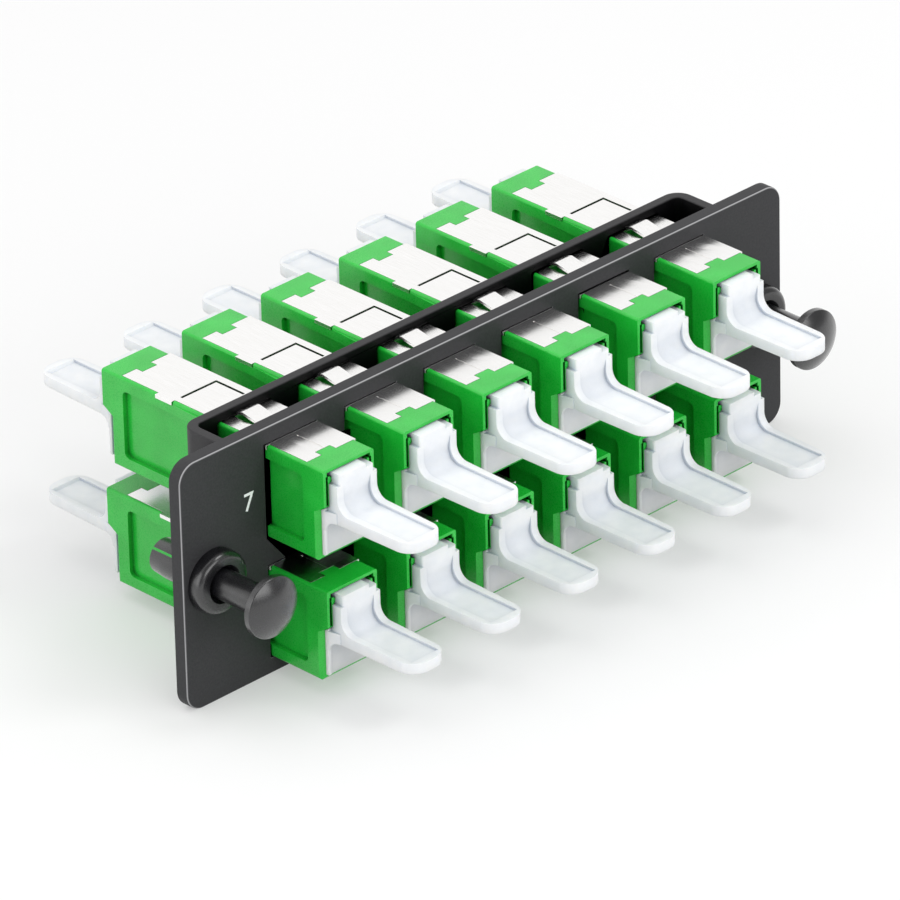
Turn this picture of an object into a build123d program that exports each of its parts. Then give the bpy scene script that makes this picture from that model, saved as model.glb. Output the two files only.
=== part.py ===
# Fibre adapter panel: a black steel front plate with a folded bracket behind it, twelve
# green snap-in adapters in two rows of six, white dust plugs in both ends of every
# adapter, and a black push-pull latch at each end of the plate.
#
# Frame: +X along the plate, the front faces -Y, +Z is up. The origin is the centre of the
# plate's rear face, which is the face that seats on the shelf. All sizes are millimetres.
#
# An adapter is drawn about its own centre: its length runs along Y, its rear end is at
# +Y, and its two ends are alike, so one end is drawn and turned half a turn for the other.
from build123d import *
import os

# Front plate
PLATE_LENGTH = 111.0
PLATE_EDGE = 1.0
PLATE_THICKNESS = 2.0
PLATE_CORNER = 2.75
PLATE_EDGE_ROUND = 0.3

# Adapters: where they stand in the plate
COLUMNS = 6
ROW_GAP = 4.1
WINDOW_SIDE_CLEARANCE = 0.25
WINDOW_END_CLEARANCE = 0.1

# Adapter housing
HOUSING_WIDTH = 9.0
HOUSING_HEIGHT = 13.55
HOUSING_LENGTH = 41.5
HOUSING_EDGE_ROUND = 0.4
HOOD_DROP_AT_END = 5.3
HOOD_DROP_AT_BEVEL = 6.45
JAW_SETBACK = 1.1
JAW_BEVEL_LENGTH = 0.8
JAW_BEVEL_WIDTH = 0.6
JAW_FOOT_CHAMFER = 0.5
PORT_WALL = 1.2
PORT_FLOOR = 1.2
PORT_ROOF = 1.3
PORT_LIP = 0.45
PORT_LIP_DEPTH = 1.75
WEB_THICKNESS = 3.0
PANEL_RECESS_DEPTH = 0.75
PANEL_RECESS_END = 3.9
PANEL_RECESS_TOP = 1.9
PANEL_RECESS_BOTTOM = 1.8
PANEL_RECESS_CORNER = 0.8
PANEL_LAND = 5.0
GROOVE_WIDTH = 0.4
GROOVE_INSET = 0.45
GROOVE_TOP = 1.0
GROOVE_HEIGHT = 4.2
GROOVE_DEPTH = 1.0
MOUTH_WIDTH = 7.7
MOUTH_HEIGHT = 0.65
NUB_RADIUS = 0.4
NUB_DROP = 1.6
NUB_LENGTH = 1.0
LUG_PROUD = 0.5
LUG_LENGTH = 7.7
LUG_HEIGHT = 3.0

# Metal cover on the adapter's top
COVER_THICKNESS = 0.35
COVER_MARGIN = 0.45
COVER_GAP = 0.06
RIM_LENGTH = 3.4
CASTLE_WIDTH = 2.5
CASTLE_OFFSET = -0.15
CASTLE_LENGTH = 1.15
TAB_START = 7.3
TAB_LENGTH = 3.1
TAB_HEIGHT = 0.2
TAB_PROUD = 0.15
FOLD_HEIGHT = 0.7
SEAM_WIDTH = 0.14
SEAM_DEPTH = 0.14
SEAM_AT = 0.2
SEAM_LENGTH = 6.2
TONGUE_WIDTH = 3.1
TONGUE_GAP = 0.25
TONGUE_ROOT = 7.4
TONGUE_RIDGE = 2.8
TONGUE_RISE = 0.9
TONGUE_DROP = 0.3
TONGUE_POCKET_DEPTH = 0.65
SLIT_WIDTH = 0.42
SLIT_AT = 7.0
SLIT_LEFT = 1.55
SLIT_RIGHT = 8.0
SLIT_LEG = 5.0
SLIT_GROOVE_DEPTH = 0.65

# Bracket behind the plate
BRACKET_INSET = 9.5
BRACKET_EDGE = 1.3
BRACKET_END_GAP = 4.125
BRACKET_DEPTH = 8.1
BRACKET_THICKNESS = 1.5
BRACKET_BEND = 2.5

# Alignment sleeve and its holder, at the centre of an adapter
SLEEVE_BORE = 2.5
SLEEVE_OUTER = 3.2
SLEEVE_LENGTH = 11.4
SLEEVE_SLIT = 0.4
SLEEVE_CLEARANCE = 0.1
HOLDER_OUTER = 4.4
HOLDER_LENGTH = 15.0
HOLDER_MOUTH = 2.8
HOLDER_COLLAR = 6.2
HOLDER_COLLAR_LENGTH = 0.8
HOLDER_CLEARANCE = 0.05

# Dust plug
PLUG_CLEARANCE = 0.1
PLUG_SHANK_LENGTH = 7.0
PLUG_SHANK_WALL = 0.9
PLUG_FLANGE_WIDTH = 6.1
PLUG_FLANGE_PROUD = 1.5
PLUG_STEP_DROP = 2.15
PLUG_NOTCH_START = 1.6
PLUG_NOTCH_HEIGHT = 0.6
PLUG_RECESS_DEPTH = 0.35
PLUG_RECESS_TOP = 2.4
PLUG_RECESS_SLOPE = 1.6
PLUG_SKIRT_WIDTH = 8.1
PLUG_SKIRT_SETBACK = 0.35
PLUG_SKIRT_GAP = 0.15
PLUG_SKIRT_BOTTOM = 0.95
PLUG_EDGE_ROUND = 0.3
RIM_WIDTH = 1.2
SKIRT_RIM_WIDTH = 0.4
SKIRT_POCKET_DEPTH = 0.3
SKIRT_POCKET_CORNER = 1.2
PADDLE_TOP = 6.03
PADDLE_THICKNESS = 1.55
PADDLE_REACH = 14.4
PADDLE_ROOT_WIDTH = 7.2
PADDLE_TIP_WIDTH = 6.4
PADDLE_TIP_CORNER = 2.6
PADDLE_FLARE_END = 1.7
PADDLE_FILLET_ABOVE = 1.9
PADDLE_FILLET_BELOW = 1.2
DISH_DEPTH = 0.35
DISH_END = 1.2

# Push-pull latch: a grommet in the plate and a plunger in the grommet
LATCH_INSET = 5.25
BARREL_RADIUS = 2.65
BARREL_SHOULDER = 0.25
BARREL_HOLE_CLEARANCE = 0.05
BARREL_REACH = 7.4
BARREL_STRAIGHT = 5.0
BARREL_TIP_RADIUS = 2.4
BARREL_SLIT = 0.35
BARREL_SLIT_START = 1.0
GROMMET_RADIUS = 4.4
GROMMET_EDGE = 1.25
GROMMET_ROUND = 0.95
GROMMET_MOUTH_DEPTH = 0.5
SHANK_RADIUS = 2.1
SHANK_CLEARANCE = 0.08
PLUNGER_TRAVEL = 7.5
PLUNGER_SEAT_GAP = 0.5
PLUNGER_TIP_INSET = 0.45
HEAD_RADIUS = 4.3
HEAD_EDGE = 0.95
HEAD_HEIGHT = 2.35
HEAD_NECK_FLARE = 1.2

# Worked out from the sizes above
HALF_WIDTH = HOUSING_WIDTH / 2
HALF_LENGTH = HOUSING_LENGTH / 2
TOP = HOUSING_HEIGHT / 2
BOTTOM = -TOP
JAW_END = HALF_LENGTH - JAW_SETBACK
BEVEL_START = JAW_END - JAW_BEVEL_LENGTH
PORT_HALF = HALF_WIDTH - PORT_WALL
ROW_PITCH = HOUSING_HEIGHT + ROW_GAP
PORT_TOP = TOP - PORT_ROOF
PORT_BOTTOM = BOTTOM + PORT_FLOOR
WINDOW_WIDTH = HOUSING_WIDTH + 2 * WINDOW_SIDE_CLEARANCE
WINDOW_HEIGHT = HOUSING_HEIGHT + 2 * WINDOW_END_CLEARANCE
BRACKET_HEIGHT = ROW_PITCH + WINDOW_HEIGHT + 2 * BRACKET_EDGE
PLATE_HEIGHT = BRACKET_HEIGHT + 2 * PLATE_EDGE
BRACKET_LENGTH = PLATE_LENGTH - 2 * BRACKET_INSET
BRACKET_INSIDE = BRACKET_LENGTH - 2 * BRACKET_THICKNESS
COLUMN_PITCH = (BRACKET_INSIDE - 2 * BRACKET_END_GAP - HOUSING_WIDTH) / (COLUMNS - 1)
LATCH_SPAN = PLATE_LENGTH - 2 * LATCH_INSET
COVER_HALF_LENGTH = HALF_LENGTH - RIM_LENGTH
COVER_HALF_WIDTH = HALF_WIDTH - COVER_MARGIN
COVER_UNDERSIDE = TOP - COVER_THICKNESS
TAB_OUTER = HALF_WIDTH + TAB_PROUD
TAB_INNER = TAB_OUTER - COVER_THICKNESS
TONGUE_END = BRACKET_THICKNESS + 2 * COVER_GAP
SHANK_BORE = SHANK_RADIUS + SHANK_CLEARANCE
SHOULDER_RADIUS = BARREL_RADIUS + BARREL_SHOULDER
GROMMET_FACE = -PLATE_THICKNESS - GROMMET_EDGE - GROMMET_ROUND
HOOD_SLOPE = (HOOD_DROP_AT_BEVEL - HOOD_DROP_AT_END) / (JAW_SETBACK + JAW_BEVEL_LENGTH)
HEAD_BACK = GROMMET_FACE - PLUNGER_TRAVEL - PLUNGER_SEAT_GAP
PAST = 1.0


def block(x, y, z):
    """A box from its lowest and highest corner on each axis."""
    size = (x[1] - x[0], y[1] - y[0], z[1] - z[0])
    middle = (sum(x) / 2, sum(y) / 2, sum(z) / 2)
    return Pos(*middle) * Box(*size)


def side_prism(outline, half_width):
    """A closed outline in Y and Z, drawn out to both sides along X."""
    return extrude(Plane.YZ * make_face(outline), half_width, both=True)


def turned(outline):
    """A closed outline of radius (X) and place (Y), turned about the Y axis."""
    return revolve(make_face(outline), Axis.Y)


def both_ends(shape):
    """A feature of the rear end, and the same one turned round for the front end."""
    return [shape, Rot(0, 0, 180) * shape]


def both_sides(shape):
    """A feature on the +X side, and its mirror image on the -X side."""
    return [shape, mirror(shape, about=Plane.YZ)]


def adapter_places():
    """The name and the centre of each adapter, from the left, the upper row first."""
    first = -(COLUMNS - 1) / 2 * COLUMN_PITCH
    for row, height in (("upper", ROW_PITCH / 2), ("lower", -ROW_PITCH / 2)):
        for column in range(COLUMNS):
            centre = Pos(first + column * COLUMN_PITCH, BRACKET_DEPTH, height)
            yield f"{row}_{column + 1}", centre


def windows():
    """The cutters for the twelve adapter windows, long enough for plate and bracket."""
    reach = 2 * (BRACKET_DEPTH + PLATE_THICKNESS + PAST)
    return [centre * Box(WINDOW_WIDTH, reach, WINDOW_HEIGHT) for _, centre in adapter_places()]


def front_plate():
    """Sheet steel with rounded corners, twelve windows and a hole for each latch."""
    outline = RectangleRounded(PLATE_LENGTH, PLATE_HEIGHT, PLATE_CORNER)
    plate = extrude(Plane.XZ * outline, PLATE_THICKNESS)
    front_edges = plate.faces().sort_by(Axis.Y)[0].edges()
    plate = fillet(front_edges, PLATE_EDGE_ROUND)
    plate -= windows()
    hole = Cylinder(SHOULDER_RADIUS + BARREL_HOLE_CLEARANCE, 4 * PLATE_THICKNESS, rotation=(90, 0, 0))
    return plate - both_sides(Pos(LATCH_SPAN / 2, 0, 0) * hole)


def rear_bracket():
    """Sheet steel folded to a shallow U. Its legs meet the plate and its back wall has
    the windows that the adapters lock in."""
    outer = Pos(0, BRACKET_DEPTH / 2) * Rectangle(BRACKET_LENGTH, BRACKET_DEPTH)
    outer = fillet(outer.vertices().sort_by(Axis.Y)[-2:], BRACKET_BEND)
    depth = BRACKET_DEPTH - BRACKET_THICKNESS
    inner = Pos(0, depth / 2) * Rectangle(BRACKET_LENGTH - 2 * BRACKET_THICKNESS, depth)
    inner = fillet(inner.vertices().sort_by(Axis.Y)[-2:], BRACKET_BEND - BRACKET_THICKNESS)
    return extrude(outer - inner, BRACKET_HEIGHT / 2, both=True) - windows()


def latch_grommet():
    """Moulded grommet: a domed collar on the plate's front and a barrel through the plate
    that is slit crosswise, so that the plunger can spread its four legs."""
    seat = -PLATE_THICKNESS
    outline = Polyline(
        (SHANK_BORE, BARREL_REACH),
        (BARREL_TIP_RADIUS, BARREL_REACH),
        (BARREL_RADIUS, BARREL_STRAIGHT),
        (BARREL_RADIUS, 0),
        (SHOULDER_RADIUS, 0),
        (SHOULDER_RADIUS, seat),
        (GROMMET_RADIUS, seat),
        (GROMMET_RADIUS, seat - GROMMET_EDGE),
    )
    crown = GROMMET_RADIUS - GROMMET_ROUND
    outline += RadiusArc((GROMMET_RADIUS, seat - GROMMET_EDGE), (crown, GROMMET_FACE), GROMMET_ROUND)
    outline += Polyline(
        (crown, GROMMET_FACE),
        (SHANK_BORE + GROMMET_MOUTH_DEPTH, GROMMET_FACE),
        (SHANK_BORE, GROMMET_FACE + GROMMET_MOUTH_DEPTH),
        (SHANK_BORE, BARREL_REACH),
    )
    slit_height = 2 * BARREL_RADIUS + PAST
    slit = block(
        (-BARREL_SLIT / 2, BARREL_SLIT / 2),
        (BARREL_SLIT_START, BARREL_REACH + PAST),
        (-slit_height / 2, slit_height / 2),
    )
    return turned(outline) - Rot(0, 45, 0) * slit - Rot(0, -45, 0) * slit


def latch_plunger():
    """Moulded plunger, pulled out at rest: a plain shank, a flared neck and a domed head."""
    tip = BARREL_REACH - PLUNGER_TRAVEL - PLUNGER_TIP_INSET
    edge = HEAD_BACK - HEAD_EDGE
    apex = HEAD_BACK - HEAD_HEIGHT
    outline = Polyline((0, apex), (0, tip), (SHANK_RADIUS, tip), (SHANK_RADIUS, HEAD_BACK + HEAD_NECK_FLARE))
    outline += RadiusArc(
        (SHANK_RADIUS, HEAD_BACK + HEAD_NECK_FLARE),
        (SHANK_RADIUS + HEAD_NECK_FLARE, HEAD_BACK),
        -HEAD_NECK_FLARE,
    )
    outline += Polyline((SHANK_RADIUS + HEAD_NECK_FLARE, HEAD_BACK), (HEAD_RADIUS, HEAD_BACK), (HEAD_RADIUS, edge))
    rise = edge - apex
    outline += RadiusArc((HEAD_RADIUS, edge), (0, apex), (HEAD_RADIUS**2 + rise**2) / (2 * rise))
    return turned(outline)


def castles(gap):
    """The two blocks of the housing's rims that stand into the notches of the cover."""
    half = CASTLE_WIDTH / 2 + gap
    rear = block(
        (CASTLE_OFFSET - half, CASTLE_OFFSET + half),
        (COVER_HALF_LENGTH - CASTLE_LENGTH - gap, COVER_HALF_LENGTH + PAST),
        (COVER_UNDERSIDE - PAST, TOP + PAST),
    )
    return [rear, mirror(rear, about=Plane.XZ)]


def side_tabs(inner, outer, height, gap):
    """The two places at the left top edge where a tab of the cover folds down."""
    tab = block(
        (-outer, -inner),
        (TAB_START - gap, TAB_START + TAB_LENGTH + gap),
        (TOP - height, TOP),
    )
    return [tab, mirror(tab, about=Plane.XZ)]


def housing_shell():
    """The outside of the housing: a hood that overhangs bevelled lower jaws."""
    end_edge = TOP - HOOD_DROP_AT_END
    bevel_edge = TOP - HOOD_DROP_AT_BEVEL
    hood = side_prism(
        Polyline(
            (-HALF_LENGTH, TOP),
            (HALF_LENGTH, TOP),
            (HALF_LENGTH, end_edge),
            (BEVEL_START, bevel_edge),
            (-BEVEL_START, bevel_edge),
            (-HALF_LENGTH, end_edge),
            close=True,
        ),
        HALF_WIDTH,
    )
    long_edges = hood.edges().filter_by(Axis.Y).group_by(Axis.Z)[-1]
    hood = fillet(long_edges, HOUSING_EDGE_ROUND)
    jaw_half = HALF_WIDTH - JAW_BEVEL_WIDTH
    jaws = Polyline(
        (HALF_WIDTH, -BEVEL_START),
        (HALF_WIDTH, BEVEL_START),
        (jaw_half, JAW_END),
        (-jaw_half, JAW_END),
        (-HALF_WIDTH, BEVEL_START),
        (-HALF_WIDTH, -BEVEL_START),
        (-jaw_half, -JAW_END),
        (jaw_half, -JAW_END),
        close=True,
    )
    jaw_top = end_edge - HOOD_SLOPE * JAW_SETBACK
    jaw = Pos(0, 0, BOTTOM) * extrude(make_face(jaws), jaw_top - BOTTOM)
    foot = jaw.faces().sort_by(Axis.Z)[0].edges()
    jaw = chamfer(foot.filter_by(Axis.X), JAW_FOOT_CHAMFER)
    long_feet = jaw.edges().filter_by(Axis.Y).group_by(Axis.Z)[0]
    return hood + fillet(long_feet, HOUSING_EDGE_ROUND)


def port_cutters():
    """Both ports: the cavity that a connector enters, the shallow pocket under the lip and
    the wider mouth above the nubs."""
    cavity = block((-PORT_HALF, PORT_HALF), (WEB_THICKNESS / 2, HALF_LENGTH + PAST), (PORT_BOTTOM, PORT_TOP))
    pocket = block(
        (-PORT_HALF, PORT_HALF),
        (HALF_LENGTH - PORT_LIP_DEPTH, HALF_LENGTH + PAST),
        (0, TOP - PORT_LIP),
    )
    mouth = block(
        (-MOUTH_WIDTH / 2, MOUTH_WIDTH / 2),
        (HALF_LENGTH - PORT_LIP_DEPTH, HALF_LENGTH + PAST),
        (TOP - PORT_LIP - MOUTH_HEIGHT, TOP - PORT_LIP),
    )
    return both_ends(cavity + pocket + mouth)


def port_nubs(radius, length):
    """Half-round nubs in the mouth of both ports, where the plugs click in."""
    nub = Pos(PORT_HALF, HALF_LENGTH - length / 2, TOP - NUB_DROP) * Cylinder(radius, length, rotation=(90, 0, 0))
    return [end for side in both_sides(nub) for end in both_ends(side)]


def panel_recesses():
    """The sunk panels in the side walls, either side of the land in the bracket's window."""
    start = PANEL_LAND / 2
    length = HALF_LENGTH - PANEL_RECESS_END - start
    height = HOUSING_HEIGHT - PANEL_RECESS_TOP - PANEL_RECESS_BOTTOM
    middle = BOTTOM + PANEL_RECESS_BOTTOM + height / 2
    face = Plane.YZ * Pos(start + length / 2, middle) * RectangleRounded(length, height, PANEL_RECESS_CORNER)
    sunk = Pos(HALF_WIDTH - PANEL_RECESS_DEPTH, 0, 0) * extrude(face, PAST)
    return [recess for side in both_sides(sunk) for recess in both_ends(side)]


def wall_grooves():
    """A narrow groove in the end of each side wall of the hood."""
    groove = block(
        (HALF_WIDTH - GROOVE_INSET - GROOVE_WIDTH, HALF_WIDTH - GROOVE_INSET),
        (HALF_LENGTH - GROOVE_DEPTH, HALF_LENGTH + PAST),
        (TOP - GROOVE_TOP - GROOVE_HEIGHT, TOP - GROOVE_TOP),
    )
    return [end for side in both_sides(groove) for end in both_ends(side)]


def stop_lugs():
    """Wedges high on both sides that stop the adapter against the bracket's rear face."""
    wedge = Polyline((HALF_WIDTH, 0), (HALF_WIDTH + LUG_PROUD, 0), (HALF_WIDTH, LUG_LENGTH), close=True)
    top = TOP - HOUSING_EDGE_ROUND
    return both_sides(Pos(0, 0, top - LUG_HEIGHT) * extrude(make_face(wedge), LUG_HEIGHT))


def adapter_housing():
    """The green moulded housing of one adapter."""
    housing = housing_shell() + stop_lugs()
    along = (-COVER_HALF_LENGTH, COVER_HALF_LENGTH)
    recess = block((-COVER_HALF_WIDTH, HALF_WIDTH + PAST), along, (COVER_UNDERSIDE, TOP + PAST))
    housing -= recess - castles(0)
    fold_end = COVER_UNDERSIDE - FOLD_HEIGHT - COVER_GAP
    housing -= block((TAB_INNER, HALF_WIDTH + PAST), along, (fold_end, TOP + PAST))
    tab = COVER_THICKNESS + TAB_HEIGHT + COVER_GAP
    housing -= side_tabs(COVER_HALF_WIDTH, HALF_WIDTH + PAST, COVER_THICKNESS, COVER_GAP)
    housing -= side_tabs(TAB_INNER, HALF_WIDTH + PAST, tab, COVER_GAP)
    housing -= cover_slits(COVER_UNDERSIDE - SLIT_GROOVE_DEPTH)
    pocket_half = TONGUE_WIDTH / 2 + TONGUE_GAP
    housing -= block(
        (-pocket_half, pocket_half),
        (-TONGUE_ROOT, -TONGUE_END),
        (COVER_UNDERSIDE - TONGUE_POCKET_DEPTH, TOP),
    )
    housing -= port_cutters() + panel_recesses() + wall_grooves()
    housing += port_nubs(NUB_RADIUS, NUB_LENGTH)
    return housing - Cylinder(HOLDER_OUTER / 2 + HOLDER_CLEARANCE, 2 * WEB_THICKNESS, rotation=(90, 0, 0))


def cover_tongue():
    """The spring tongue: it rises to a ridge and drops a little towards the bracket."""
    ridge = TOP + TONGUE_RISE
    end = ridge - TONGUE_DROP
    return side_prism(
        Polyline(
            (-TONGUE_ROOT - COVER_THICKNESS, TOP),
            (-TONGUE_RIDGE, ridge),
            (-TONGUE_END, end),
            (-TONGUE_END, end - COVER_THICKNESS),
            (-TONGUE_RIDGE, ridge - COVER_THICKNESS),
            (-TONGUE_ROOT, COVER_UNDERSIDE),
            (-TONGUE_ROOT - COVER_THICKNESS, COVER_UNDERSIDE),
            close=True,
        ),
        TONGUE_WIDTH / 2,
    )


def cover_slits(floor):
    """The fine slit in the rear half: across the cover, then forward along its right side,
    down to this height."""
    left = SLIT_LEFT - HALF_WIDTH
    right = SLIT_RIGHT - HALF_WIDTH
    height = (floor, TOP + PAST)
    across = block((left, right), (SLIT_AT, SLIT_AT + SLIT_WIDTH), height)
    along = block((right - SLIT_WIDTH, right), (SLIT_AT - SLIT_LEG, SLIT_AT + SLIT_WIDTH), height)
    return [across, along]


def metal_cover():
    """The bright sheet metal clip in the housing's top: folded down along its right side,
    with two tabs on the left, a spring tongue and a fine seam in the front half."""
    left = -COVER_HALF_WIDTH + COVER_GAP
    half_length = COVER_HALF_LENGTH - COVER_GAP
    cover = block((left, TAB_OUTER), (-half_length, half_length), (COVER_UNDERSIDE, TOP))
    cover += block(
        (TAB_INNER + COVER_GAP, TAB_OUTER),
        (-half_length, half_length),
        (COVER_UNDERSIDE - FOLD_HEIGHT, TOP),
    )
    window_half = TONGUE_WIDTH / 2 + TONGUE_GAP
    cover -= block((-window_half, window_half), (-TONGUE_ROOT, -TONGUE_END), (COVER_UNDERSIDE - PAST, TOP + PAST))
    cover -= castles(COVER_GAP) + cover_slits(COVER_UNDERSIDE - PAST)
    cover -= block(
        (SEAM_AT - SEAM_WIDTH / 2, SEAM_AT + SEAM_WIDTH / 2),
        (-half_length, -half_length + SEAM_LENGTH),
        (TOP - SEAM_DEPTH, TOP + PAST),
    )
    cover += side_tabs(-left, TAB_OUTER, COVER_THICKNESS, 0)
    cover += side_tabs(TAB_INNER + COVER_GAP, TAB_OUTER, COVER_THICKNESS + TAB_HEIGHT, 0)
    return cover + cover_tongue()


def sleeve_holder():
    """Moulded tube through the housing's web, with a collar against the web's rear face."""
    outer = HOLDER_OUTER / 2
    bore = SLEEVE_OUTER / 2 + SLEEVE_CLEARANCE
    mouth = HOLDER_MOUTH / 2
    end = HOLDER_LENGTH / 2
    shoulder = SLEEVE_LENGTH / 2 + SLEEVE_CLEARANCE
    seat = WEB_THICKNESS / 2
    collar_end = seat + HOLDER_COLLAR_LENGTH
    return turned(
        Polyline(
            (mouth, -end),
            (outer, -end),
            (outer, seat),
            (HOLDER_COLLAR / 2, seat),
            (HOLDER_COLLAR / 2, collar_end),
            (outer, collar_end),
            (outer, end),
            (mouth, end),
            (mouth, shoulder),
            (bore, shoulder),
            (bore, -shoulder),
            (mouth, -shoulder),
            close=True,
        )
    )


def ceramic_sleeve():
    """The split sleeve that lines up the two ferrules."""
    half = SLEEVE_LENGTH / 2
    tube = turned(
        Polyline(
            (SLEEVE_BORE / 2, -half),
            (SLEEVE_OUTER / 2, -half),
            (SLEEVE_OUTER / 2, half),
            (SLEEVE_BORE / 2, half),
            close=True,
        )
    )
    return tube - block((-SLEEVE_SLIT / 2, SLEEVE_SLIT / 2), (-half - PAST, half + PAST), (0, SLEEVE_OUTER))


def scoop_outline(face, paddle_top):
    """The line of the plug's face as it curves out into the top of the paddle."""
    return JernArc((face, paddle_top + PADDLE_FILLET_ABOVE), (0, -1), PADDLE_FILLET_ABOVE, 90)


def plug_paddle():
    """The finger paddle, whose root flares out to the width of the skirt, and the two
    cutters that leave raised rims: the dish on top and the pocket under the root."""
    flange_face = HALF_LENGTH + PLUG_FLANGE_PROUD
    skirt_face = HALF_LENGTH - PLUG_SKIRT_SETBACK
    step = TOP - PLUG_STEP_DROP
    upper = TOP - PADDLE_TOP
    lower = upper - PADDLE_THICKNESS
    tip = HALF_LENGTH + PADDLE_REACH
    back = JAW_END + PLUG_CLEARANCE
    hood_end = TOP - HOOD_DROP_AT_END - PLUG_SKIRT_GAP
    outline = Polyline((HALF_LENGTH, step), (flange_face, step), (flange_face, upper + PADDLE_FILLET_ABOVE))
    outline += scoop_outline(flange_face, upper)
    outline += Polyline(
        (flange_face + PADDLE_FILLET_ABOVE, upper),
        (tip, upper),
        (tip, lower),
        (skirt_face + PADDLE_FILLET_BELOW, lower),
    )
    outline += JernArc((skirt_face + PADDLE_FILLET_BELOW, lower), (-1, 0), PADDLE_FILLET_BELOW, 90)
    foot = lower - PADDLE_FILLET_BELOW
    outline += Polyline(
        (skirt_face, foot),
        (back, foot),
        (back, hood_end - HOOD_SLOPE * (HALF_LENGTH - back)),
        (HALF_LENGTH, hood_end),
        (HALF_LENGTH, step),
    )
    root, end, flare = PADDLE_ROOT_WIDTH / 2, PADDLE_TIP_WIDTH / 2, PLUG_SKIRT_WIDTH / 2
    plan = make_face(Polyline((-root, back), (root, back), (end, tip), (-end, tip), close=True))
    plan = fillet(plan.vertices().sort_by(Axis.Y)[-2:], PADDLE_TIP_CORNER)
    profile = side_prism(outline, flare)
    paddle = profile & (Pos(0, 0, BOTTOM) * extrude(plan, HOUSING_HEIGHT))
    flare_end = skirt_face + PADDLE_FLARE_END
    wings = Polyline(
        (-flare, back),
        (flare, back),
        (flare, skirt_face),
        (root, flare_end),
        (-root, flare_end),
        (-flare, skirt_face),
        close=True,
    )
    flare_height = upper - foot
    paddle += profile & (Pos(0, 0, foot) * extrude(make_face(wings), flare_height))
    recess_face = flange_face - PLUG_RECESS_DEPTH
    floor = upper - DISH_DEPTH
    dish_start = TOP - PLUG_RECESS_TOP
    dish = Polyline(
        (flange_face + PAST, dish_start),
        (flange_face, dish_start),
        (recess_face, dish_start - PLUG_RECESS_SLOPE),
        (recess_face, floor + PADDLE_FILLET_ABOVE),
    )
    dish += scoop_outline(recess_face, floor)
    dish += Polyline(
        (recess_face + PADDLE_FILLET_ABOVE, floor),
        (tip - DISH_END - DISH_DEPTH, floor),
        (tip - DISH_END, upper),
        (tip - DISH_END, dish_start),
        (flange_face + PAST, dish_start),
    )
    pocket_width = PLUG_SKIRT_WIDTH - 2 * SKIRT_RIM_WIDTH
    pocket_face = RectangleRounded(pocket_width, HOUSING_HEIGHT, SKIRT_POCKET_CORNER)
    pocket = extrude(Plane.XZ * Pos(0, lower - HOUSING_HEIGHT / 2) * pocket_face, -PADDLE_REACH)
    pocket = Pos(0, skirt_face - SKIRT_POCKET_DEPTH, 0) * pocket
    return paddle, [side_prism(dish, root - RIM_WIDTH), pocket]


def dust_plug():
    """The white plug of the rear port: hollow shank, stepped flange and finger paddle."""
    face = HALF_LENGTH + PLUG_FLANGE_PROUD
    flange_top = TOP - PORT_LIP - PLUG_CLEARANCE
    flange_back = HALF_LENGTH - PORT_LIP_DEPTH + PLUG_CLEARANCE
    skirt_face = HALF_LENGTH - PLUG_SKIRT_SETBACK
    skirt_back = JAW_END + PLUG_CLEARANCE
    hood_end = TOP - HOOD_DROP_AT_END - PLUG_SKIRT_GAP
    skirt_low = BOTTOM + PLUG_SKIRT_BOTTOM
    flange_half = PLUG_FLANGE_WIDTH / 2
    flange = block((-flange_half, flange_half), (flange_back, face), (hood_end - PAST, flange_top))
    skirt = side_prism(
        Polyline(
            (skirt_back, skirt_low),
            (skirt_face, skirt_low),
            (skirt_face, hood_end - HOOD_SLOPE * PLUG_SKIRT_SETBACK),
            (skirt_back, hood_end - HOOD_SLOPE * (HALF_LENGTH - skirt_back)),
            close=True,
        ),
        PLUG_SKIRT_WIDTH / 2,
    )
    skirt_edges = skirt.faces().sort_by(Axis.Y)[-1].edges()
    skirt = fillet(skirt_edges.filter_by(Axis.Z) + skirt_edges.sort_by(Axis.Z)[:1], PLUG_EDGE_ROUND)
    shank_half = PORT_HALF - PLUG_CLEARANCE
    shank_end = flange_back - PLUG_SHANK_LENGTH
    low, high = PORT_BOTTOM + PLUG_CLEARANCE, PORT_TOP - PLUG_CLEARANCE
    shank = block((-shank_half, shank_half), (shank_end, HALF_LENGTH - PLUG_SHANK_WALL), (low, high))
    hollow = block(
        (-shank_half + PLUG_SHANK_WALL, shank_half - PLUG_SHANK_WALL),
        (shank_end - PAST, flange_back),
        (low + PLUG_SHANK_WALL, high - PLUG_SHANK_WALL),
    )
    front_edges = flange.faces().sort_by(Axis.Y)[-1].edges()
    flange = fillet(front_edges.filter_by(Axis.Z), PLUG_EDGE_ROUND)
    flange -= block(
        (-flange_half - PAST, -PLUG_NOTCH_START),
        (flange_back - PAST, face + PAST),
        (flange_top - PLUG_NOTCH_HEIGHT, flange_top + PAST),
    )
    paddle, hollows = plug_paddle()
    plug = flange + skirt + shank - hollow + paddle - hollows
    return plug - port_nubs(NUB_RADIUS + PLUG_CLEARANCE, PLUG_SHANK_LENGTH + 2 * PORT_LIP_DEPTH)


def write(name, shape):
    """One file for each separate piece of the panel."""
    export_step(shape, f"parts/{name}.step")


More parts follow.
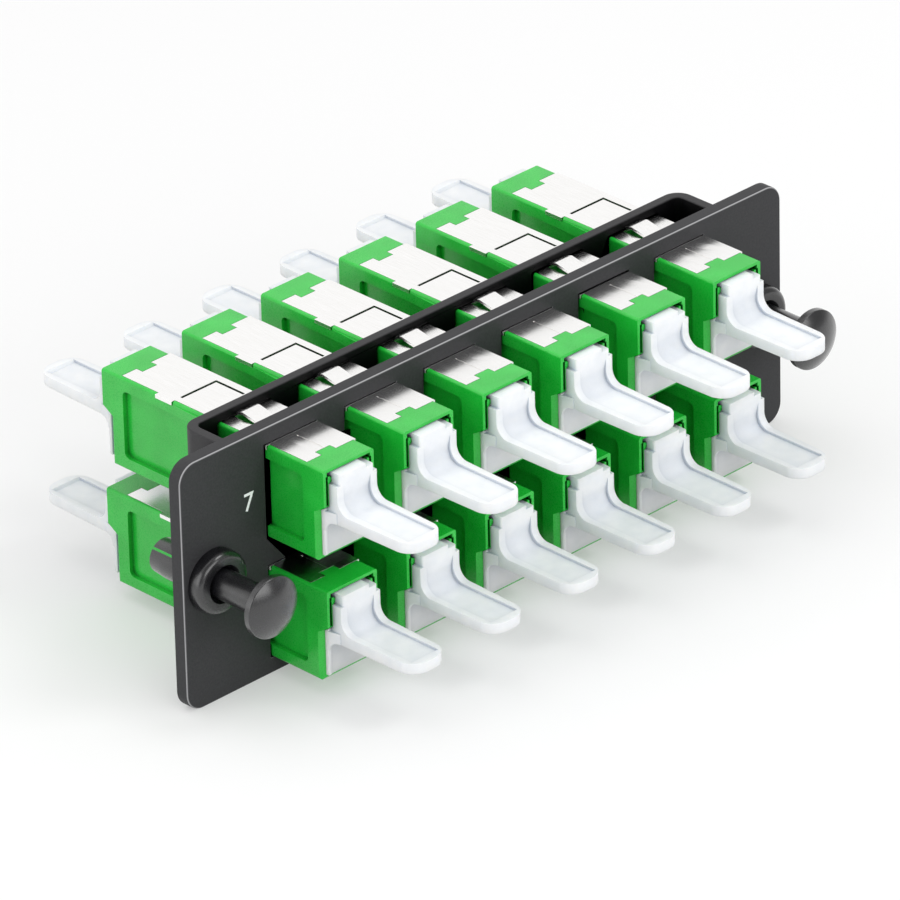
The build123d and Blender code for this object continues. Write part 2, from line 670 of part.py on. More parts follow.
def main():
    os.makedirs("parts", exist_ok=True)
    write("front_plate", front_plate())
    write("rear_bracket", rear_bracket())
    for side, place in (("left", -LATCH_SPAN / 2), ("right", LATCH_SPAN / 2)):
        write(f"latch_grommet_{side}", Pos(place, 0, 0) * latch_grommet())
        write(f"latch_plunger_{side}", Pos(place, 0, 0) * latch_plunger())
    housing, cover = adapter_housing(), metal_cover()
    rear_plug = dust_plug()
    front_plug = Rot(0, 0, 180) * rear_plug
    for name, centre in adapter_places():
        write(f"housing_{name}", centre * housing)
        write(f"cover_{name}", centre * cover)
        write(f"front_plug_{name}", centre * front_plug)
        write(f"rear_plug_{name}", centre * rear_plug)
    holder, sleeve = sleeve_holder(), ceramic_sleeve()
    centres = [centre for _, centre in adapter_places()]
    write("sleeve_holders", Compound([centre * holder for centre in centres]))
    write("ceramic_sleeves", Compound([centre * sleeve for centre in centres]))


main()
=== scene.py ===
# %% [markdown]
# A fibre adapter panel, dressed for its picture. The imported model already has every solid
# at its real size and place, so this lesson adds what a camera would see: softened edges,
# a real finish on each material, the printed port number, studio light and a camera.
# Blender works in metres here, in the panel's own frame: +X along the plate, the front
# faces -Y, +Z is up, and the origin is the centre of the plate's rear face. Sizes on a
# part like this are read off a drawing in millimetres, so one value, MM, turns them
# into metres.

import math

import bpy
from mathutils import Matrix, Vector


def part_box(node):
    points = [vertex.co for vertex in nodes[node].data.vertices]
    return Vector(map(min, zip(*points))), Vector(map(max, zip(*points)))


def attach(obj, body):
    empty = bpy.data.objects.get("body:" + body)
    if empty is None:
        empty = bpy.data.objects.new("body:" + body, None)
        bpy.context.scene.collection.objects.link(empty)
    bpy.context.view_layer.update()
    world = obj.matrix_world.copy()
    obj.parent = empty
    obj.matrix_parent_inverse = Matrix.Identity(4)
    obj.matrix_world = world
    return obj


MM = 0.001
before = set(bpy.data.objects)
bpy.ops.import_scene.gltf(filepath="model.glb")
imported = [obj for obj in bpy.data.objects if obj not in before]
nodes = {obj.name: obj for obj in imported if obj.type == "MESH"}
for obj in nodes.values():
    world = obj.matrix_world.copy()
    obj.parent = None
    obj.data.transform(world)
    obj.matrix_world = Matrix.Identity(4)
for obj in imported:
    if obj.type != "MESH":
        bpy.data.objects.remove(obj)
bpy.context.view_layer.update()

# %% [markdown]
# Two places on the plate are needed later: the floor that it stands on, and the front
# face that the number is printed on. They could be typed in, but the plate's own box
# gives them, so they stay right when the model changes size.

# %% The floor's height and the plate's front face
plate_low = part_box("front_plate")[0]
FLOOR_Z = plate_low.z
PLATE_FRONT = plate_low.y
print("floor at", round(FLOOR_Z / MM, 2), "mm, plate front at", round(PLATE_FRONT / MM, 2), "mm")

# %% [markdown]
# The photographer stood well back with a long lens, to the left of the panel's front and
# above it, so its edges run almost parallel. A long lens could be faked with an
# orthographic camera, but then the far end would not shrink at all, so the real focal
# length is kept. The camera also leans by a degree or so, as a hand-set one does, and
# its picture is shifted by a hair, as by a crop that isn't quite centred.

# %% The camera
SENSOR = 36.0
LENS = 376.19
AZIMUTH = math.radians(-44.088)
ELEVATION = math.radians(28.285)
LEAN = math.radians(-1.3686)
DISTANCE = 1212.58 * MM
LOOK_AT = Vector((-19.076, -13.748, 11.011)) * MM
SHIFT_RIGHT = 0.00164
SHIFT_UP = -0.00165
NEAREST_SEEN = DISTANCE * 0.1
FARTHEST_SEEN = DISTANCE * 10


def make_camera():
    back = Vector((
        math.sin(AZIMUTH) * math.cos(ELEVATION),
        -math.cos(AZIMUTH) * math.cos(ELEVATION),
        math.sin(ELEVATION),
    ))
    level_right = Vector((math.cos(AZIMUTH), math.sin(AZIMUTH), 0))
    level_up = back.cross(level_right)
    right = math.cos(LEAN) * level_right + math.sin(LEAN) * level_up
    up = back.cross(right)
    data = bpy.data.cameras.new("camera")
    data.sensor_width, data.lens = SENSOR, LENS
    data.shift_x, data.shift_y = SHIFT_RIGHT, SHIFT_UP
    data.clip_start, data.clip_end = NEAREST_SEEN, FARTHEST_SEEN
    camera = bpy.data.objects.new("camera", data)
    turn = Matrix((right, up, back)).transposed().to_4x4()
    camera.matrix_world = Matrix.Translation(LOOK_AT + back * DISTANCE) @ turn
    bpy.context.scene.collection.objects.link(camera)
    bpy.context.scene.camera = camera
    return camera


camera = make_camera()
print("camera at", [round(v, 3) for v in camera.matrix_world.translation])

# %% [markdown]
# Every finish below is a small network of shader nodes, and a few helpers keep them
# readable. The first turns a colour as a painter or a web page writes it (sRGB hex) into
# the linear numbers that a shader works in. The next two add a node, set it up and link
# it in one line: a value that is a socket is linked, and anything else is simply set.
# The last two clear a network and start a material that has one shader in it.

# %% Helpers for shader nodes
def linear(hex_colour):
    """The sRGB standard's own curve: straight near black, and a power above that."""
    channels = (int(hex_colour[i:i + 2], 16) / 255 for i in (1, 3, 5))
    return (*(c / 12.92 if c <= 0.04045 else ((c + 0.055) / 1.055) ** 2.4 for c in channels), 1.0)


def plug_in(tree, node, inputs):
    """Link each input that is given as a socket, and set each that is a plain value."""
    for name, value in inputs.items():
        if isinstance(value, bpy.types.NodeSocket):
            tree.links.new(value, node.inputs[name])
        else:
            node.inputs[name].default_value = value


def add_node(tree, kind, inputs=None, **settings):
    node = tree.nodes.new(kind)
    for name, value in settings.items():
        setattr(node, name, value)
    plug_in(tree, node, inputs or {})
    return node


def empty_tree(owner):
    """The network of a material or a world, cleared."""
    owner.use_nodes = True
    owner.node_tree.nodes.clear()
    return owner.node_tree


def new_material(name, values):
    """A material with one shader that has these values, and its coordinates in metres."""
    material = bpy.data.materials.new(name)
    tree = empty_tree(material)
    place = add_node(tree, "ShaderNodeTexCoord").outputs["Object"]
    shader = add_node(tree, "ShaderNodeBsdfPrincipled", values)
    add_node(tree, "ShaderNodeOutputMaterial", {"Surface": shader.outputs["BSDF"]})
    return material, tree, place, shader


print("white as a shader sees it:", [round(c, 3) for c in linear("#ffffff")])

# %% [markdown]
# No real surface is quite even, and every finish here shows it the same way: a noise
# whose grain has a real size nudges the colour, the roughness and the surface itself.
# Blender's noise repeats about once per unit, so its scale is one over the grain in
# metres. Most of a noise lies near its middle, so that part is spread out to run from 0
# to 1, and a bump node turns the noise into tiny hills of a real height. An image
# texture could do all this too, but it would need a flat unfolding of each piece.

# %% Uneven surfaces
NOISE_LOW = 0.3
NOISE_HIGH = 0.7
COARSE_DETAIL = 2.0
FINE_DETAIL = 3.0


def uneven(tree, place, grain, height, detail=COARSE_DETAIL, stretch=None, over=None):
    """A noise of this grain and height in metres: its share from 0 to 1, and its bump.

    Stretch squeezes the noise along an axis; over is the bump of a coarser noise below."""
    if stretch:
        squeezed = add_node(tree, "ShaderNodeMapping", {"Vector": place, "Scale": stretch})
        place = squeezed.outputs["Vector"]
    noise = add_node(tree, "ShaderNodeTexNoise", {
        "Vector": place, "Scale": 1 / grain, "Detail": detail,
    }).outputs["Fac"]
    share = add_node(tree, "ShaderNodeMapRange", {
        "Value": noise, "From Min": NOISE_LOW, "From Max": NOISE_HIGH,
    }).outputs["Result"]
    hills = {"Height": noise, "Distance": height, "Strength": 1.0}
    if over is not None:
        hills["Normal"] = over
    return share, add_node(tree, "ShaderNodeBump", hills).outputs["Normal"]


def follow(tree, shader, share, ranges):
    """Let each of these values run between its two ends as the share goes from 0 to 1."""
    for name, (start, end) in ranges.items():
        value = add_node(tree, "ShaderNodeMapRange", {
            "Value": share, "To Min": start, "To Max": end,
        }).outputs["Result"]
        plug_in(tree, shader, {name: value})


def surface(tree, shader, colours, drift, rough, fine, bump):
    """Colours that drift by one share, a roughness that follows another, and a bump."""
    first, second = colours
    colour = add_node(tree, "ShaderNodeMix", {
        "Factor": drift, "A": linear(first), "B": linear(second),
    }, data_type="RGBA").outputs["Result"]
    plug_in(tree, shader, {"Base Color": colour, "Normal": bump})
    follow(tree, shader, fine, {"Roughness": rough})


print("a grain of 1 mm is a noise scale of", round(1 / MM))

# %% [markdown]
# A narrow gap or a fold gets little light. The light simulation gives most of that by
# itself, but a dyed plastic that glows a little would still show a pale line where the
# eye expects a dark one. So one more helper measures how open a point is to what stands
# within a few millimetres of it, and another fades a shader's colour towards a second one
# by that share: painted shade where the second colour is darker, a painted highlight where
# it is paler.

# %% Gaps and folds, with painted shade
GAP_RAYS = 8


def in_the_open(tree, reach, closed, clear):
    """One where nothing stands within reach in metres, zero deep in a gap or a corner."""
    nearby = add_node(tree, "ShaderNodeAmbientOcclusion", {"Distance": reach}, samples=GAP_RAYS)
    return add_node(tree, "ShaderNodeMapRange", {
        "Value": nearby.outputs["AO"], "From Min": closed, "From Max": clear,
    }).outputs["Result"]


def paint_shade_or_highlight(tree, shader, share, hex_colour):
    """The shader keeps its colour where the share is one, and has this one where it is zero:
    painted shade or a painted highlight.
    """
    own_colour = shader.inputs["Base Color"].links[0].from_socket
    faded = add_node(tree, "ShaderNodeMix", {
        "Factor": share, "A": linear(hex_colour), "B": own_colour,
    }, data_type="RGBA").outputs["Result"]
    plug_in(tree, shader, {"Base Color": faded})


print("rays that feel for a gap:", GAP_RAYS)

# %% [markdown]
# The plate and the bracket are sheet steel with black powder coat. The powder melts into
# a thin skin that is never quite flat: it has a fine pebble of a few tenths of a
# millimetre, which breaks up every reflection and makes the black look dark grey in a
# bright studio. It could be a single rough black, but that looks like paper. Two sizes
# of relief are used here: the pebble, and a slow waviness from the way the skin flows.

# %% Black powder coat
PEBBLE = 0.28 * MM
PEBBLE_HEIGHT = 0.012 * MM
FLOW = 2.5 * MM
FLOW_HEIGHT = 0.02 * MM
POWDER_ROUGH = (0.46, 0.58)


def powder_coat(name, colours, ior):
    material, tree, place, shader = new_material(name, {"IOR": ior})
    _, waves = uneven(tree, place, FLOW, FLOW_HEIGHT)
    pebble, bump = uneven(tree, place, PEBBLE, PEBBLE_HEIGHT, FINE_DETAIL, over=waves)
    surface(tree, shader, colours, pebble, POWDER_ROUGH, pebble, bump)
    return material, tree, shader


print("powder pebble:", round(PEBBLE / MM, 2), "mm")

# %% [markdown]
# The plate's front rim is painted paler: a painted highlight, a thin light line that
# outlines the plate where a glint would run along the rounded rim. The line could be
# painted by its place on the plate, but the rim is found by the way it faces instead: the
# flat front faces -Y, the sides don't face Y at all, and the rounding between them faces
# partly to the front. The plate's coat is matt and mirrors little, so its IOR is below the usual
# 1.5.

# %% The plate's coat with its painted highlight on the rim
PLATE_BLACKS = ("#303032", "#3c3c3e")
PLATE_RIM_PAINTED_HIGHLIGHT = "#b4b4b6"
PLATE_IOR = 1.33
RIM_FACING = -0.62
RIM_FADE = 0.34


def off_the_painted_highlight(tree):
    """Zero in the middle of the plate's rounded front rim, and one away from it."""
    normal = add_node(tree, "ShaderNodeTexCoord").outputs["Normal"]
    facing = add_node(tree, "ShaderNodeSeparateXYZ", {"Vector": normal}).outputs["Y"]
    turned = add_node(tree, "ShaderNodeMath", {0: facing, 1: RIM_FACING}, operation="SUBTRACT")
    distance = add_node(tree, "ShaderNodeMath", {0: turned.outputs[0]}, operation="ABSOLUTE")
    return add_node(tree, "ShaderNodeMapRange", {
        "Value": distance.outputs[0], "From Max": RIM_FADE,
    }).outputs["Result"]


def plate_finish():
    material, tree, shader = powder_coat("black_powder_coat_on_plate", PLATE_BLACKS, PLATE_IOR)
    # The rim's paler colour is a painted highlight.
    paint_shade_or_highlight(tree, shader, off_the_painted_highlight(tree), PLATE_RIM_PAINTED_HIGHLIGHT)
    return material


plate_coat = plate_finish()
print("made", plate_coat.name)

# %% [markdown]
# The bracket's coat is a little blacker and shinier. The channel between it and the plate
# is closed on four sides and full of adapters, so hardly any light gets in, and there shade
# is painted in: the colour and the shine both fade, by how open a point is to what stands
# within nine millimetres of it. A darker paint for the inside would be simpler, but it
# would end in a hard line where the real channel darkens slowly.

# %% The bracket's coat with painted shade in its channel
BRACKET_BLACKS = ("#1c1b1e", "#262528")
BRACKET_PAINTED_SHADE = "#040405"
BRACKET_IOR = 1.5
CHANNEL_REACH = 9.0 * MM


def bracket_finish():
    name = "black_powder_coat_on_bracket"
    material, tree, shader = powder_coat(name, BRACKET_BLACKS, BRACKET_IOR)
    open_share = in_the_open(tree, CHANNEL_REACH, closed=0.45, clear=0.85)
    # Painted shade: the colour goes to near black and the shine drops in the channel.
    paint_shade_or_highlight(tree, shader, open_share, BRACKET_PAINTED_SHADE)
    follow(tree, shader, open_share, {"Specular IOR Level": (0.1, 0.5)})
    return material


bracket_coat = bracket_finish()
print("made", bracket_coat.name)

# %% [markdown]
# The adapter housings are injection moulded in green PBT, a tough plastic with a gloss
# that comes straight from a polished mould. One flat green would do for a drawing, but
# real mouldings are never even: the surface sinks a little over thick ribs, and the dye
# swirls faintly where the melt flowed. A slow colour drift, a slow sink and a very fine
# mould grain give that life; the grain is drawn a little coarser than the real one, so
# that it shows. Some scattering under the surface makes the thin rims glow, as dyed
# plastic does. In gaps the scattering and the shine are turned off and the colour is
# faded to near black, a painted shade, so that the slit in the clip shows as a dark line.

# %% Green moulded PBT
GREENS = ("#19b836", "#26c741")
GREEN_PAINTED_SHADE = "#020a03"
GREEN_ROUGH = (0.24, 0.34)
SINK = 4.0 * MM
SINK_HEIGHT = 0.03 * MM
MOULD_GRAIN = 0.12 * MM
MOULD_GRAIN_HEIGHT = 0.0015 * MM
GAP_SHADE_REACH = 1.4 * MM


def green_plastic():
    material, tree, place, shader = new_material("green_moulded_pbt", {
        "IOR": 1.52,
        "Subsurface Radius": (0.3, 1.0, 0.3),
        "Subsurface Scale": 0.6 * MM,
        "Coat Weight": 0.25,
        "Coat Roughness": 0.16,
    })
    sink, waves = uneven(tree, place, SINK, SINK_HEIGHT)
    fine, bump = uneven(tree, place, MOULD_GRAIN, MOULD_GRAIN_HEIGHT, FINE_DETAIL, over=waves)
    surface(tree, shader, GREENS, sink, GREEN_ROUGH, fine, bump)
    open_share = in_the_open(tree, GAP_SHADE_REACH, closed=0.16, clear=0.62)
    # Painted shade: in gaps the green fades to near black, with no glow and no shine.
    paint_shade_or_highlight(tree, shader, open_share, GREEN_PAINTED_SHADE)
    follow(tree, shader, open_share, {
        "Subsurface Weight": (0.0, 0.12), "Specular IOR Level": (0.0, 0.5),
    })
    return material


green = green_plastic()
print("made", green.name)

# %% [markdown]
# The clip on each adapter is spring steel strip with bright nickel on it, cut and folded
# in a press. Strip is rolled, so it carries hair-fine lines along its length, and they
# smear a reflection across themselves. The metal's colour is almost that of steel, a
# touch warm, and metals keep the shader's usual IOR. The real lines are a few hundredths
# of a millimetre apart; they are drawn wider here, or they would vanish in the picture.
# The shader's anisotropy could smear the light without them, but it would need a
# direction on every face, so the lines are relief. The press leaves slow shallow dents
# as well, so no reflection is quite straight.

# %% Bright nickel on spring steel strip
NICKELS = ("#f6f5f3", "#fdfcfb")
NICKEL_ROUGH = (0.19, 0.25)
ROLLING_LINE = 0.09 * MM
ROLLING_STRETCH = (1.0, 0.03, 1.0)
ROLLING_HEIGHT = 0.0003 * MM
DENT = 3.0 * MM
DENT_HEIGHT = 0.012 * MM
DENT_DETAIL = 1.0


def bright_nickel():
    material, tree, place, shader = new_material("bright_nickel_on_steel_strip", {"Metallic": 1.0})
    _, dents = uneven(tree, place, DENT, DENT_HEIGHT, DENT_DETAIL)
    lines, bump = uneven(
        tree, place, ROLLING_LINE, ROLLING_HEIGHT, stretch=ROLLING_STRETCH, over=dents)
    surface(tree, shader, NICKELS, lines, NICKEL_ROUGH, lines, bump)
    return material


nickel = bright_nickel()
print("made", nickel.name)

# %% [markdown]
# The dust plugs are soft white polyethylene. It has no hard gloss: light goes in,
# scatters and comes out again, so thin parts such as the paddle look milky and bright,
# and shadows inside its fillets stay pale and a little cool. Scattering under the surface
# does most of the work, with a satin roughness and a faint flow mark from moulding; a
# plain white without it would look like plaster. In folds a cooler grey is blended in as
# painted shade, which makes the paddle's shallow dish readable.

# %% White moulded polyethylene
WHITES = ("#ebeef2", "#f3f5f8")
WHITE_PAINTED_SHADE = "#b9c0c9"
SATIN_ROUGH = (0.36, 0.46)
FLOW_MARK = 2.2 * MM
FLOW_MARK_HEIGHT = 0.02 * MM
SATIN_GRAIN = 0.16 * MM
SATIN_HEIGHT = 0.002 * MM
FOLD_REACH = 3.0 * MM


def white_polyethylene():
    material, tree, place, shader = new_material("white_moulded_polyethylene", {
        "IOR": 1.5,
        "Subsurface Weight": 0.65,
        "Subsurface Radius": (1.0, 1.05, 1.15),
        "Subsurface Scale": 1.6 * MM,
    })
    marks, waves = uneven(tree, place, FLOW_MARK, FLOW_MARK_HEIGHT)
    fine, bump = uneven(tree, place, SATIN_GRAIN, SATIN_HEIGHT, FINE_DETAIL, over=waves)
    surface(tree, shader, WHITES, marks, SATIN_ROUGH, fine, bump)
    open_share = in_the_open(tree, FOLD_REACH, closed=0.28, clear=1.0)
    # Painted shade: a cooler grey in the folds and fillets.
    paint_shade_or_highlight(tree, shader, open_share, WHITE_PAINTED_SHADE)
    return material


polyethylene = white_polyethylene()
print("made", polyethylene.name)

# %% [markdown]
# The latches are black nylon from a smooth mould, glossier than the powder coat beside
# them. A low roughness alone would make them look wet, so a clear coat layer stands for
# the resin-rich skin of the moulding: it is what shows the lamps as soft bright patches
# over a duller black. The sheen is broken only by a slow unevenness,
# which tells the eye that a dome is moulded and not turned from metal. Behind the plate
# the barrel stands close beside the bracket, and there its sheen is faded as painted shade.

# %% Black moulded nylon
NYLONS = ("#111113", "#1a1a1d")
NYLON_ROUGH = (0.24, 0.32)
NYLON_WAVE = 1.8 * MM
NYLON_WAVE_HEIGHT = 0.02 * MM
NYLON_GRAIN = 0.1 * MM
NYLON_GRAIN_HEIGHT = 0.0015 * MM
BARREL_REACH = 8.0 * MM


def black_nylon():
    material, tree, place, shader = new_material("black_moulded_nylon", {
        "IOR": 1.53, "Coat Roughness": 0.27,
    })
    wave, waves = uneven(tree, place, NYLON_WAVE, NYLON_WAVE_HEIGHT)
    fine, bump = uneven(tree, place, NYLON_GRAIN, NYLON_GRAIN_HEIGHT, FINE_DETAIL, over=waves)
    surface(tree, shader, NYLONS, wave, NYLON_ROUGH, fine, bump)
    open_share = in_the_open(tree, BARREL_REACH, closed=0.5, clear=0.95)
    # Painted shade: the coat and the shine fade where the barrel stands close to other parts.
    follow(tree, shader, open_share, {
        "Coat Weight": (0.05, 1.0), "Specular IOR Level": (0.1, 0.5),
    })
    return material


nylon = black_nylon()
print("made", nylon.name)

# %% [markdown]
# Inside each adapter are two pieces that show only when a plug is pulled: a cream
# polycarbonate tube, and a ground zirconia sleeve in it. Zirconia is a white ceramic with
# a faintly warm body and the fine rings that a grinding wheel leaves, drawn coarser here
# than they are. The third plain finish is the white ink of the port number, a matt film
# with a satin grain. They could be built in layers like the others, but so little of
# them is seen that one noise each is enough.

# %% Cream polycarbonate, ground zirconia and white ink
GRIND_LINE = 0.06 * MM
GRIND_STRETCH = (0.05, 1.0, 0.05)


def plain_finish(name, colours, grain, rough, ior, stretch=None):
    material, tree, place, shader = new_material(name, {"IOR": ior})
    marks, bump = uneven(tree, place, grain, MOULD_GRAIN_HEIGHT, stretch=stretch)
    surface(tree, shader, colours, marks, rough, marks, bump)
    return material


polycarbonate = plain_finish(
    "cream_moulded_polycarbonate", colours=("#d9d4c4", "#e4e0d2"),
    grain=SINK, rough=(0.3, 0.4), ior=1.58)
zirconia = plain_finish(
    "ground_zirconia", colours=("#ece9e0", "#f4f2ea"),
    grain=GRIND_LINE, rough=(0.15, 0.25), ior=2.15, stretch=GRIND_STRETCH)
ink = plain_finish(
    "white_printed_ink", colours=("#f6f6f8", "#fcfcfe"),
    grain=SATIN_GRAIN, rough=(0.45, 0.6), ior=1.5)
print("made", polycarbonate.name, zirconia.name, ink.name)

# %% [markdown]
# Each solid now gets its finish. The solids stay as they are: only the material in each
# one's slots changes. Fifty-six lines could do it, one for each piece, but the names of
# the pieces say what they are, so the start of a name is enough to choose.

# %% Hand out the finishes
FINISHES = {
    "front_plate": plate_coat,
    "rear_bracket": bracket_coat,
    "latch_": nylon,
    "housing_": green,
    "cover_": nickel,
    "front_plug_": polyethylene,
    "rear_plug_": polyethylene,
    "sleeve_holders": polycarbonate,
    "ceramic_sleeves": zirconia,
}


def by_start(table, name):
    """What the table says for a piece, by the start of its name."""
    return next(entry for start, entry in table.items() if name.startswith(start))


for name, piece in nodes.items():
    for slot in piece.material_slots:
        slot.material = by_start(FINISHES, name)
print("finishes given to", len(nodes), "solids")

# %% [markdown]
# No real edge is perfectly sharp. Powder coat rounds a cut edge by a tenth or two of a
# millimetre, a mould leaves about as much, and folded strip has almost none. That thin
# band catches the light and draws the outline of every piece. It could be faked in the
# shader, but then the shape would not have it, so each solid gets modifiers: weld its
# facets, join those that lie in one plane, shade curves smoothly, and bevel what is
# still sharp. Rounds that the model has already, such as the plate's front rim, are
# made of gentle facets, so the bevel leaves them alone.

# %% Rounded edges
EDGE_ROUND = {
    "front_plate": 0.12 * MM,
    "rear_bracket": 0.2 * MM,
    "latch_": 0.12 * MM,
    "housing_": 0.12 * MM,
    "cover_": 0.04 * MM,
    "front_plug_": 0.16 * MM,
    "rear_plug_": 0.16 * MM,
    "sleeve_holders": 0.06 * MM,
    "ceramic_sleeves": 0.04 * MM,
}
WELD_DISTANCE = 0.001 * MM
FLAT_ANGLE = math.radians(0.6)
SHARP_ANGLE = math.radians(32)
BEVEL_STEPS = 3


def smooth_curves_group():
    """Geometry nodes that drop the stored normals and keep only the true edges sharp."""
    tree = bpy.data.node_groups.new("smooth_curves", "GeometryNodeTree")
    for way in ("INPUT", "OUTPUT"):
        tree.interface.new_socket("Geometry", in_out=way, socket_type="NodeSocketGeometry")
    shape = add_node(tree, "NodeGroupInput").outputs[0]
    shape = add_node(tree, "GeometryNodeRemoveAttribute", {
        "Geometry": shape, "Name": "custom_normal",
    }).outputs["Geometry"]
    angle = add_node(tree, "GeometryNodeInputMeshEdgeAngle").outputs["Unsigned Angle"]
    gentle = add_node(tree, "FunctionNodeCompare", {
        0: angle, 1: SHARP_ANGLE,
    }, operation="LESS_THAN").outputs["Result"]
    shape = add_node(tree, "GeometryNodeSetShadeSmooth", {
        "Geometry": shape, "Shade Smooth": gentle,
    }, domain="EDGE").outputs["Geometry"]
    shape = add_node(tree, "GeometryNodeSetShadeSmooth", {
        "Geometry": shape,
    }, domain="FACE").outputs["Geometry"]
    add_node(tree, "NodeGroupOutput", {0: shape})
    return tree


def soften(piece, width, smooth_curves):
    weld = piece.modifiers.new("weld", "WELD")
    weld.merge_threshold = WELD_DISTANCE
    flat = piece.modifiers.new("flat", "DECIMATE")
    flat.decimate_type, flat.angle_limit = "DISSOLVE", FLAT_ANGLE
    shade = piece.modifiers.new("shade", "NODES")
    shade.node_group = smooth_curves
    bevel = piece.modifiers.new("bevel", "BEVEL")
    bevel.width, bevel.segments = width, BEVEL_STEPS
    bevel.limit_method, bevel.angle_limit = "ANGLE", SHARP_ANGLE
    bevel.use_clamp_overlap, bevel.harden_normals = True, True
    bevel.miter_outer = "MITER_ARC"


smooth_curves = smooth_curves_group()
for name, piece in nodes.items():
    soften(piece, by_start(EDGE_ROUND, name), smooth_curves)
print("edges rounded on", len(nodes), "solids")

# %% [markdown]
# The port number beside the first adapter is screen printed in white. Ink lies on the
# coat in a film of about twenty micrometres and spreads by a hair past its stencil. It
# could be painted on in the shader, but then its edge would need a picture, so it is a
# flat piece of text with almost no thickness, set just on the plate's face. The height
# of a printed number is that of its digits, which is a share of the text's own size.

# %% The printed port number
PANEL_BODY = "panel"
NUMBER = "7"
NUMBER_HEIGHT = 2.72 * MM
NUMBER_X = -44.52 * MM
NUMBER_Z = 7.33 * MM
INK_SPREAD = 0.025 * MM
INK_THICKNESS = 0.02 * MM
DIGIT_SHARE = 0.73
UPRIGHT = math.radians(90)


def printed_number():
    text = bpy.data.curves.new("number_outline", "FONT")
    text.body = NUMBER
    text.size = NUMBER_HEIGHT / DIGIT_SHARE
    text.extrude = INK_THICKNESS / 2
    text.offset = INK_SPREAD
    carrier = bpy.data.objects.new("number_outline", text)
    bpy.context.scene.collection.objects.link(carrier)
    bpy.context.view_layer.update()
    shape = bpy.data.meshes.new_from_object(carrier)
    bpy.data.objects.remove(carrier)
    place = Matrix.Translation((NUMBER_X, PLATE_FRONT - INK_THICKNESS / 2, NUMBER_Z))
    shape.transform(place @ Matrix.Rotation(UPRIGHT, 4, "X"))
    shape.materials.clear()
    shape.materials.append(ink)
    number = bpy.data.objects.new("printed_port_number", shape)
    bpy.context.scene.collection.objects.link(number)
    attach(number, PANEL_BODY)
    return number


number = printed_number()
print("number", NUMBER, "is", round(number.dimensions.z / MM, 2), "mm tall")

# %% [markdown]
# The floor is a pale studio sweep. It takes the panel's shadow like any matt surface. A
# floor white enough to read as clean white would throw too much light up at the panel,
# so it is a pale grey, and what the camera, and anything glossy, sees of it gets a
# little extra. The shadow stays grey, and the light on the panel doesn't change, because
# that extra is only seen and never shines on anything matt.

# %% The floor
FLOOR_SIZE = 6.0
FLOOR_GAP = 0.02 * MM
FLOOR_GREY = "#cecece"
FLOOR_LIFT = 0.33


def seen_directly(tree, glossy_share=1.0):
    """One for a ray from the camera or through something clear, this share for a glossy ray."""
    path = add_node(tree, "ShaderNodeLightPath").outputs
    glossy = add_node(tree, "ShaderNodeMath", {
        0: path["Is Glossy Ray"], 1: glossy_share,
    }, operation="MULTIPLY").outputs[0]
    either = add_node(tree, "ShaderNodeMath", {
        0: path["Is Camera Ray"], 1: glossy,
    }, operation="MAXIMUM").outputs[0]
    return add_node(tree, "ShaderNodeMath", {
        0: either, 1: path["Is Transmission Ray"],
    }, operation="MAXIMUM").outputs[0]


def studio_floor_paint():
    material = bpy.data.materials.new("pale_studio_floor")
    tree = empty_tree(material)
    matt = add_node(tree, "ShaderNodeBsdfDiffuse", {"Color": linear(FLOOR_GREY)})
    lift = add_node(tree, "ShaderNodeMath", {
        0: seen_directly(tree), 1: FLOOR_LIFT,
    }, operation="MULTIPLY")
    glow = add_node(tree, "ShaderNodeEmission", {"Strength": lift.outputs[0]})
    both = add_node(tree, "ShaderNodeAddShader", {0: matt.outputs[0], 1: glow.outputs[0]})
    add_node(tree, "ShaderNodeOutputMaterial", {"Surface": both.outputs[0]})
    return material


def make_floor():
    half = FLOOR_SIZE / 2
    shape = bpy.data.meshes.new("floor")
    corners = [(-half, -half, 0), (half, -half, 0), (half, half, 0), (-half, half, 0)]
    shape.from_pydata(corners, [], [(0, 1, 2, 3)])
    shape.materials.append(studio_floor_paint())
    floor = bpy.data.objects.new("floor", shape)
    floor.location.z = FLOOR_Z - FLOOR_GAP
    bpy.context.scene.collection.objects.link(floor)


make_floor()
print("floor", FLOOR_SIZE, "m across")

# %% [markdown]
# An even sky gives most of the light. It could be one flat grey, but then the camera
# would see a grey background, so each kind of ray meets its own sky: the camera sees
# plain white, and matt surfaces get a softer level. Shiny surfaces see white behind the
# panel, which is what makes the nickel look white, and a dim side in front of it, as in
# a real studio with the room lights off.

# %% The sky
SKY_WHITE = "#ffffff"
SKY_LIGHT = 0.68
DIM_SIDE = 0.35
DIM_UP_TO = -0.25
WHITE_FROM = 0.35


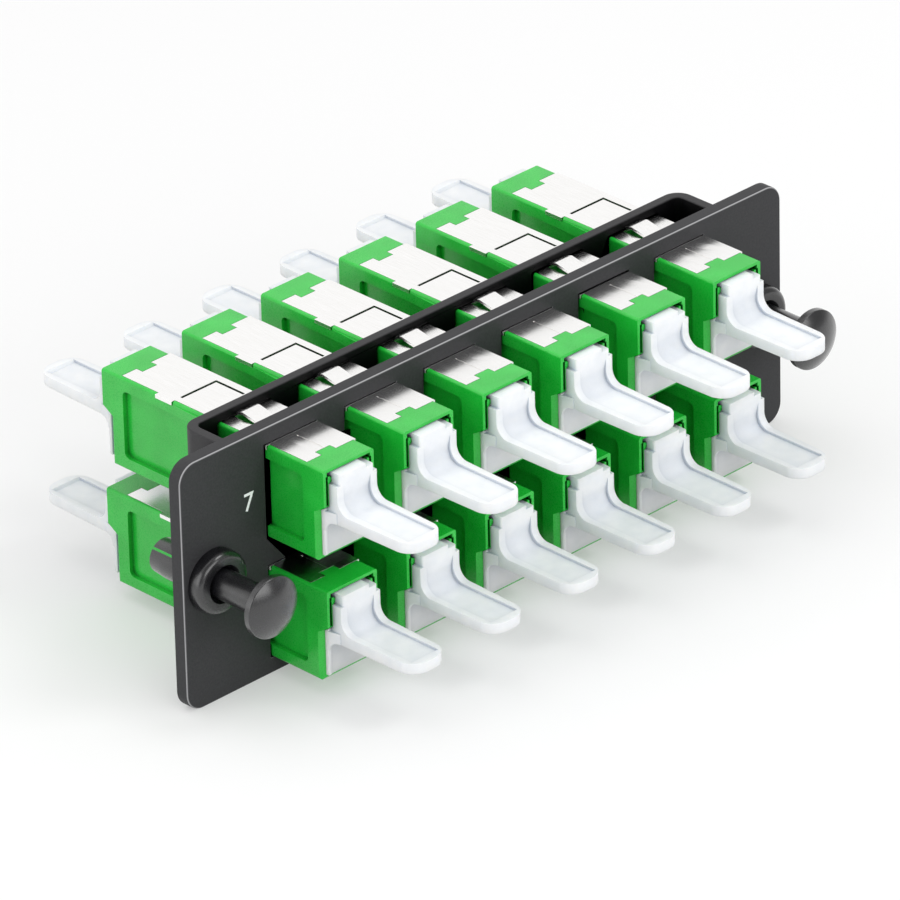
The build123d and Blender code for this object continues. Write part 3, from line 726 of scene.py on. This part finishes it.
def make_sky():
    world = bpy.data.worlds.new("studio_sky")
    tree = empty_tree(world)
    direction = add_node(tree, "ShaderNodeTexCoord").outputs["Generated"]
    backwards = add_node(tree, "ShaderNodeSeparateXYZ", {"Vector": direction}).outputs["Y"]
    shine = add_node(tree, "ShaderNodeMapRange", {
        "Value": backwards, "From Min": DIM_UP_TO, "From Max": WHITE_FROM, "To Min": DIM_SIDE,
    }).outputs["Result"]
    soft = add_node(tree, "ShaderNodeMath", {
        0: add_node(tree, "ShaderNodeLightPath").outputs["Is Diffuse Ray"], 1: SKY_LIGHT,
    }, operation="MULTIPLY").outputs[0]
    level = add_node(tree, "ShaderNodeMath", {
        0: seen_directly(tree, shine), 1: soft,
    }, operation="MAXIMUM").outputs[0]
    sky = add_node(tree, "ShaderNodeBackground", {
        "Color": linear(SKY_WHITE), "Strength": level,
    })
    add_node(tree, "ShaderNodeOutputWorld", {"Surface": sky.outputs[0]})
    bpy.context.scene.world = world


make_sky()
print("sky level for matt surfaces:", SKY_LIGHT)

# %% [markdown]
# Four soft boxes shape the light. A large one above and behind the panel lights the rear
# plugs, a small one above the front draws the highlights on the latches, a large one
# from the left lights the faces that look that way, and a wide one in front lights the
# plugs. Bare bulbs would be simpler, but their shadows are hard and their reflections
# in the nickel and the nylon are dots.

# %% The soft boxes
def soft_box(name, place, width, height, watts):
    """A lamp of this width and height in metres that looks at the panel's middle."""
    data = bpy.data.lights.new(name, "AREA")
    data.shape, data.size, data.size_y, data.energy = "RECTANGLE", width, height, watts
    lamp = bpy.data.objects.new(name, data)
    lamp.location = place
    lamp.rotation_mode = "QUATERNION"
    lamp.rotation_quaternion = (-Vector(place)).to_track_quat("-Z", "Y")
    bpy.context.scene.collection.objects.link(lamp)


soft_box("top_box", place=(-0.15, 0.2, 0.8), width=0.7, height=0.7, watts=1.2)
soft_box("edge_box", place=(0.25, -0.38, 0.65), width=0.26, height=0.26, watts=1.2)
soft_box("left_box", place=(-0.85, 0.2, 0.18), width=0.8, height=0.8, watts=2.6)
soft_box("front_box", place=(-0.1, -0.9, 0.4), width=0.9, height=0.4, watts=3.1)

# %% [markdown]
# Last, the picture is set to show colours as they are written.

# %% Colour and the end
bpy.context.scene.view_settings.view_transform = "Standard"
